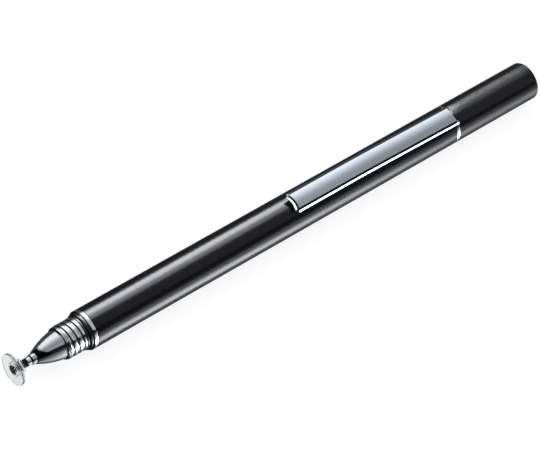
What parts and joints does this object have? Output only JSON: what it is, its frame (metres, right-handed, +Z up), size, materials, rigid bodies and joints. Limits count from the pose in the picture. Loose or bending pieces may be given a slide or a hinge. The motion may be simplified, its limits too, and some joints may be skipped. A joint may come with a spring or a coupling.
{
  "type": "stylus pen",
  "caption": "Touch-screen stylus pen: clear disc tip on a ball joint, chrome nose, threaded neck, satin black barrel, spring pocket clip and a screw cap kept on the tail.",
  "frame": {"origin": "on the surface that the pen lies on, below the middle of its length, with the clip up", "axes": "+X along the pen from the tip disc to the tail, +Z up through the clip, +Y across the pen"},
  "size_m": [0.1394, 0.0085, 0.0102],
  "materials": {
    "clear_plastic": "clear, polished",
    "black_insert": "matte black",
    "rubber": "matte black",
    "chrome": "polished chrome plate",
    "black_ring": "black, satin",
    "black_anodised": "fine blasted, anodised satin black",
    "steel": "turned steel",
    "brass": "turned brass",
    "soft_pad": "soft foam rubber"
  },
  "bodies": {
    "pen": {"ball_stud": "steel", "tip_collar": "chrome", "nose_cone": "chrome", "thread_neck": "chrome", "stop_ring": "black_ring", "shoulder_ring": "black_ring", "front_ring": "chrome", "front_bush": "brass", "barrel": "black_anodised", "clip_band": "chrome", "tail_stud": "brass"},
    "swivel": {"neck_sleeve": "rubber"},
    "disc": {"tip_disc": "clear_plastic", "disc_plug": "black_insert"},
    "clip": {"clip": "chrome"},
    "pad": {"cap_pad": "soft_pad"},
    "cap": {"cap_shell": "black_anodised"}
  },
  "joints": [
    {"name": "sleeve_spin", "type": "hinge", "parent": "pen", "child": "swivel", "pos_m": [-0.06835, 0, 0.00425], "axis": [1, 0, 0], "continuous": true},
    {"name": "disc_tilt", "type": "hinge", "parent": "swivel", "child": "disc", "pos_m": [-0.06835, 0, 0.00425], "axis": [0, 1, 0], "range_deg": [-25, 25]},
    {"name": "clip_flex", "type": "hinge", "parent": "pen", "child": "clip", "pos_m": [0.04633, 0, 0.0085], "axis": [0, 1, 0], "range_deg": [0, 2.5], "stiffness_Nm_per_rad": 1.5},
    {"name": "cap_advance", "type": "slide", "parent": "pen", "child": "pad", "axis": [1, 0, 0], "range_m": [0, 0.00317]},
    {"name": "cap_turn", "type": "hinge", "parent": "pad", "child": "cap", "pos_m": [0.05829, 0, 0.00425], "axis": [1, 0, 0], "range_deg": [0, 900]}
  ],
  "couplings": [
    {"joint": "cap_turn", "follows": "cap_advance", "rad_per_m": 4947.3}
  ]
}
